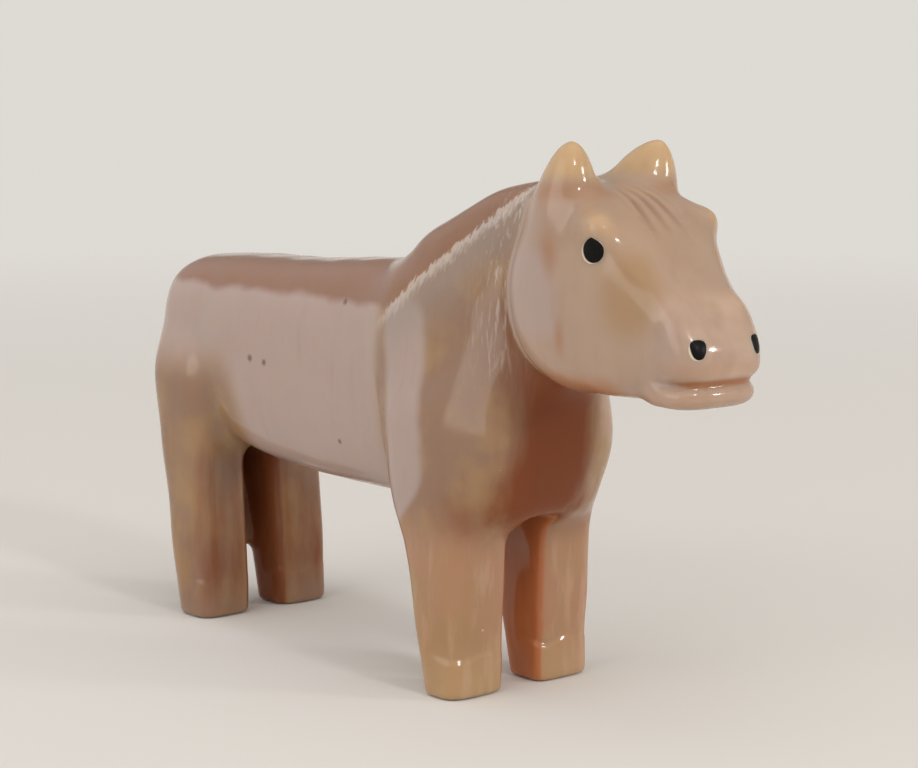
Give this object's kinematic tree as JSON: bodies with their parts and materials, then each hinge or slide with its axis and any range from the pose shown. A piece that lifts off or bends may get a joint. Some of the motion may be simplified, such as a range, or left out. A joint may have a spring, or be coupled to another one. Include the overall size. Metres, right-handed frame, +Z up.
{
  "type": "horse fetish carving",
  "caption": "Small standing horse carved from polished translucent stone, with black inlaid eyes and nostrils, that rests on flat soles.",
  "frame": {"origin": "middle of the bounding box, in the plane of the soles", "axes": "+X the way the horse looks, +Y its left side, +Z up"},
  "size_m": [0.0714, 0.0174, 0.046],
  "materials": {
    "stone": "hand carved, high polish, translucent",
    "jet": "polished jet",
    "glue": "cured epoxy"
  },
  "bodies": {
    "root": {"stone_body": "stone", "right_eye": "jet", "left_eye": "jet", "right_nostril": "jet", "left_nostril": "jet", "right_eye_glue": "glue", "left_eye_glue": "glue", "right_nostril_glue": "glue", "left_nostril_glue": "glue"}
  },
  "joints": []
}
